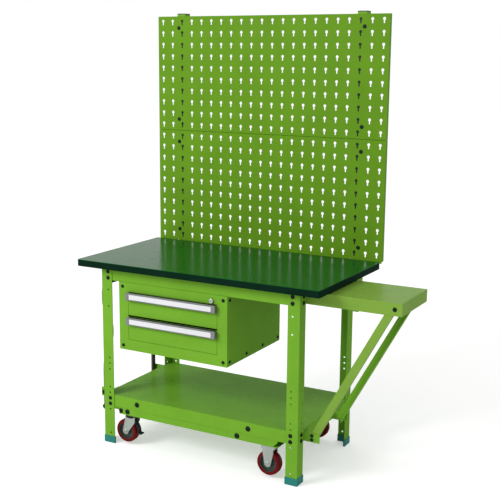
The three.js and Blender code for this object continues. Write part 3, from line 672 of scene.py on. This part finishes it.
class TABLE_OT_bolts(TableOperator, bpy.types.Operator):
    """Make the black bolts of the frame, pegboard, cabinet, shelves and carriage"""
    bl_idname = "table.bolts"
    bl_label = "Bolts"

    def execute(self, context):
        groups = {
            "leg_bolts": self.leg_bolts(),
            "panel_bolts": self.panel_bolts(),
            "cabinet_bolts": self.cabinet_bolts(),
            "shelf_pivot_bolts": self.pivot_bolts("upper"),
            "side_shelf_bolts": self.side_bolts(),
        }
        for name, shapes in groups.items():
            piece(name, combine(shapes), "bolt_black", "frame", True, record_slot="black_plastic")
        piece("carriage_pivot_bolts", combine(self.pivot_bolts("lower")), "bolt_black", "carriage", True,
              record_slot="black_plastic")
        return {"FINISHED"}

    def leg_bolts(self):
        """Two bolts at the shelf and two at the apron on each flange; the back has none at the apron."""
        line = bpy.context.scene.table_sizes.leg_hole_line
        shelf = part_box("bottom_shelf")[0].z
        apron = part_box("front_apron")[0].z
        over_shelf_lip = (9.5 * MM, 34 * MM)
        over_apron_edge = (9 * MM, 35 * MM)
        heights = [shelf + rise for rise in over_shelf_lip] + [apron + rise for rise in over_apron_edge]
        made = []
        for corner in CORNERS:
            low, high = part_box(f"leg_{corner}")
            out_y = -1 if "front" in corner else 1
            out_x = -1 if "left" in corner else 1
            face_y = low.y if out_y < 0 else high.y
            face_x = low.x if out_x < 0 else high.x
            for z in heights:
                if out_y < 0 or z < apron:
                    made.append(bolt((face_x - out_x * line, face_y, z), (0, out_y, 0)))
                made.append(bolt((face_x, face_y - out_y * line, z), (out_x, 0, 0)))
        return made

    def panel_bolts(self):
        """Two bolts through each panel into each post, outside the line of keyholes."""
        sizes = bpy.context.scene.table_sizes
        inset = sizes.pitch
        made = []
        for name in ("upper", "lower"):
            low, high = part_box(f"peg_panel_{name}")
            for side, out in (("left", -1), ("right", 1)):
                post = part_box(f"post_{side}")
                x = (post[0].x + post[1].x) / 2 + out * sizes.panel_bolt_shift
                for z in (low.z + inset, high.z - inset):
                    made.append(bolt((x, low.y, z), (0, -1, 0)))
        return made

    def cabinet_bolts(self):
        """Bolts in the corners of the front frame and along the sides of the shell."""
        low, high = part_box("cabinet_front_frame")
        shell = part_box("cabinet_shell")
        inset = 18 * MM
        size = 0.85
        made = [bolt((x, low.y, z), (0, -1, 0), size) for x in (low.x + inset, high.x - inset)
                for z in (low.z + inset, high.z - inset)]
        first = shell[0].y + inset
        step = (shell[1].y - inset - first) / 3
        for side, x in ((-1, low.x), (1, high.x)):
            made.append(bolt((x, first, high.z - inset), (side, 0, 0), size))
            made += [bolt((x, first + step * i, low.z + inset), (side, 0, 0), size) for i in range(4)]
        return made

    def pivot_bolts(self, end):
        """Bolts at one end of the swing arms; the carriage has a further pair at its left end."""
        eye = 11 * MM
        end_inset = 12 * MM
        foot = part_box("right_arms")[0].z + eye
        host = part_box("bottom_shelf" if end == "upper" else "carriage")

        def pair(x, z, size):
            return [bolt((x, host[0].y, z), (0, -1, 0), size), bolt((x, host[1].y, z), (0, 1, 0), size)]

        made = []
        for side in ("left", "right"):
            low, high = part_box(f"{side}_arms")
            x, z = (high.x - eye, high.z - eye) if end == "upper" else (low.x + eye, foot)
            made += pair(x, z, 1.3)
            if side == "left" and end == "lower":
                made += pair(host[0].x + end_inset, z, 1.2)
        return made

    def side_bolts(self):
        """Bolts at both ends of the side shelf's braces."""
        shelf_inset = 28 * MM
        bracket_inset = 38 * MM
        low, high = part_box("side_shelf")
        x, z = high.x - shelf_inset, (low.z + high.z) / 2
        made = [bolt((x, low.y, z), (0, -1, 0)), bolt((x, high.y, z), (0, 1, 0))]
        for name, out in (("front", -1), ("rear", 1)):
            low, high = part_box(f"strut_bracket_{name}")
            face = low.y if out < 0 else high.y
            for drop in (8 * MM, 24 * MM):
                made.append(bolt((low.x + bracket_inset, face, high.z - drop), (0, out, 0), 0.85))
        return made


class TABLE_OT_drawer_trim(TableOperator, bpy.types.Operator):
    """Make the label strips, the black strips of painted shade behind the handles' tops, the end caps of the
    handles, and the face of the lock
    """
    bl_idname = "table.drawer_trim"
    bl_label = "Drawer trim"

    def execute(self, context):
        for name in ("upper", "lower"):
            self.handle_trim(name)
        self.lock_trim()
        return {"FINISHED"}

    def handle_trim(self, name):
        """Bare label strip, a black strip of painted shade behind the handle's top and two end caps."""
        low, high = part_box(f"{name}_drawer_handle")
        body = f"{name}_drawer"
        inset = 16 * MM
        border = 6 * MM
        card_proud = 0.6 * MM
        card = block((low.x + inset, low.y - card_proud, low.z + border),
                     (high.x - inset, low.y, high.z - border))
        made = piece(f"{name}_label_strip", card, "label_card", body, record_slot="handle_aluminium")
        soften(made, 0.25 * MM)
        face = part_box(f"{name}_drawer_front")[0].y
        # A black strip on the drawer front just under the handle's top: painted shade for the dark recess
        # behind the handle.
        grip_shade_inset = 4 * MM
        grip_shade_thick = 1 * MM
        grip_shade_drop = 12 * MM
        grip_shade_gap = 0.3 * MM
        grip_shade_strip = block((low.x + grip_shade_inset, face - grip_shade_thick, high.z - grip_shade_drop),
                    (high.x - grip_shade_inset, face, high.z - grip_shade_gap))
        piece(f"{name}_finger_pad", grip_shade_strip, "black_plastic", body)
        cap_proud = 1.2 * MM
        cap_depth = 4 * MM
        cap_margin = 1 * MM
        for side, x in (("left", low.x), ("right", high.x)):
            inward = inset if side == "left" else -inset
            ends = sorted((x - inward * 0.12, x + inward * 0.8))
            cap = block((ends[0], low.y - cap_proud, low.z + cap_margin),
                        (ends[1], low.y + cap_depth, high.z - cap_margin))
            made = piece(f"{name}_handle_cap_{side}", cap, "handle_aluminium", body)
            soften(made, 1.6 * MM)

    def lock_trim(self):
        """Dished face with a key slot."""
        low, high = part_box("lock_barrel")
        centre = (low + high) / 2
        edge, shoulder, dish = 9.5 * MM, 8 * MM, 6 * MM
        thin, crest, sunk = 1 * MM, 1.8 * MM, 1.2 * MM
        profile = [(0, 0), (edge, 0), (edge, thin), (shoulder, crest), (dish, sunk), (0, sunk)]
        rosette = turned(profile, (centre.x, low.y, centre.z), (0, -1, 0), 28)
        piece("lock_rosette", rosette, "zinc_steel", "lock", True)
        half_wide, half_tall = 0.8 * MM, 4 * MM
        slot_front, slot_back = low.y - 1.6 * MM, low.y - 1 * MM
        slot = block((centre.x - half_wide, slot_front, centre.z - half_tall),
                     (centre.x + half_wide, slot_back, centre.z + half_tall))
        piece("lock_key_slot", slot, "black_plastic", "lock")


class TABLE_OT_stage(TableOperator, bpy.types.Operator):
    """Set the floor, the soft studio light and the camera"""
    bl_idname = "table.stage"
    bl_label = "Stage"

    def execute(self, context):
        scene = context.scene
        scene.view_settings.view_transform = "Standard"
        self.floor(scene)
        self.sky(scene)
        self.lamp(scene)
        self.camera(scene)
        return {"FINISHED"}

    def floor(self, scene):
        reach = 30
        tone = 0.92
        mesh = bpy.data.meshes.new("studio_floor")
        corners = [(-reach, -reach, 0), (reach, -reach, 0), (reach, reach, 0), (-reach, reach, 0)]
        mesh.from_pydata(corners, [], [(0, 1, 2, 3)])
        pale = bpy.data.materials.new("studio_floor")
        pale.use_nodes = True
        nodes, links = pale.node_tree.nodes, pale.node_tree.links
        shader = nodes["Principled BSDF"]
        shader.inputs["Base Color"].default_value = (tone, tone, tone, 1)
        shader.inputs["Roughness"].default_value = 0.9
        shader.inputs["Emission Color"].default_value = (1, 1, 1, 1)
        rays = nodes.new("ShaderNodeLightPath")
        lift = nodes.new("ShaderNodeMath")
        lift.operation = "MULTIPLY"
        lift.inputs[1].default_value = scene.table_stage.floor_lift
        links.new(rays.outputs["Is Camera Ray"], lift.inputs[0])
        links.new(lift.outputs[0], shader.inputs["Emission Strength"])
        mesh.materials.append(pale)
        floor = bpy.data.objects.new("studio_floor", mesh)
        floor.location.z = -0.5 * MM
        scene.collection.objects.link(floor)

    def sky(self, scene):
        world = bpy.data.worlds.new("studio_sky")
        scene.world = world
        world.use_nodes = True
        nodes, links = world.node_tree.nodes, world.node_tree.links
        light = nodes["Background"]
        light.inputs["Color"].default_value = (1, 1, 1, 1)
        rays = nodes.new("ShaderNodeLightPath")
        seen = nodes.new("ShaderNodeMath")
        seen.operation = "MAXIMUM"
        links.new(rays.outputs["Is Camera Ray"], seen.inputs[0])
        links.new(rays.outputs["Is Glossy Ray"], seen.inputs[1])
        strength = nodes.new("ShaderNodeMapRange")
        strength.inputs["To Min"].default_value = scene.table_stage.sky
        strength.inputs["To Max"].default_value = 1.0
        links.new(seen.outputs[0], strength.inputs["Value"])
        links.new(strength.outputs["Result"], light.inputs["Strength"])

    def lamp(self, scene):
        place = Vector((-2.4, -4.2, 3.4))
        aim = Vector((0, 0, 0.8))
        data = bpy.data.lights.new("key_light", "AREA")
        data.energy = scene.table_stage.key_power
        data.size = 2.0
        lamp = bpy.data.objects.new("key_light", data)
        lamp.location = place
        lamp.rotation_euler = (aim - place).to_track_quat("-Z", "Y").to_euler()
        scene.collection.objects.link(lamp)

    def camera(self, scene):
        stage = scene.table_stage
        a, e, roll = stage.azimuth, stage.elevation, stage.roll
        back = Vector((math.sin(a) * math.cos(e), -math.cos(a) * math.cos(e), math.sin(e)))
        right = (-back).cross(Vector((0, 0, 1))).normalized()
        up = right.cross(-back)
        turned_right = math.cos(roll) * right + math.sin(roll) * up
        turned_up = math.cos(roll) * up - math.sin(roll) * right
        data = bpy.data.cameras.new("photo_camera")
        data.lens = stage.lens
        data.sensor_width = 36
        camera = bpy.data.objects.new("photo_camera", data)
        turn = Matrix((turned_right, turned_up, back)).transposed()
        camera.matrix_world = Matrix.Translation(Vector(stage.place)) @ turn.to_4x4()
        scene.collection.objects.link(camera)
        scene.camera = camera


STEPS = (
    TABLE_OT_frame_finishes,
    TABLE_OT_peg_panels,
    TABLE_OT_legs,
    TABLE_OT_foot_caps,
    TABLE_OT_wheels,
    TABLE_OT_lever,
    TABLE_OT_bolts,
    TABLE_OT_drawer_trim,
    TABLE_OT_stage,
)


class TABLE_PT_sidebar(bpy.types.Panel):
    """Lists the steps that make the table's looks"""
    bl_idname = "TABLE_PT_sidebar"
    bl_label = "Assembly Table"
    bl_space_type = "VIEW_3D"
    bl_region_type = "UI"
    bl_category = "Assembly Table"

    def draw(self, context):
        for step in STEPS:
            self.layout.operator(step.bl_idname)


CLASSES = (TableFinishes, TableSizes, StageSettings, *STEPS, TABLE_PT_sidebar)


def register():
    for each in CLASSES:
        bpy.utils.register_class(each)
    bpy.types.Scene.table_finishes = PointerProperty(type=TableFinishes)
    bpy.types.Scene.table_sizes = PointerProperty(type=TableSizes)
    bpy.types.Scene.table_stage = PointerProperty(type=StageSettings)


def unregister():
    del bpy.types.Scene.table_stage
    del bpy.types.Scene.table_sizes
    del bpy.types.Scene.table_finishes
    for each in reversed(CLASSES):
        bpy.utils.unregister_class(each)


def main():
    register()
    bpy.ops.table.frame_finishes()
    bpy.ops.table.peg_panels()
    bpy.ops.table.legs()
    bpy.ops.table.foot_caps()
    bpy.ops.table.wheels()
    bpy.ops.table.lever()
    bpy.ops.table.bolts()
    bpy.ops.table.drawer_trim()
    bpy.ops.table.stage()


if __name__ == "__main__":
    main()
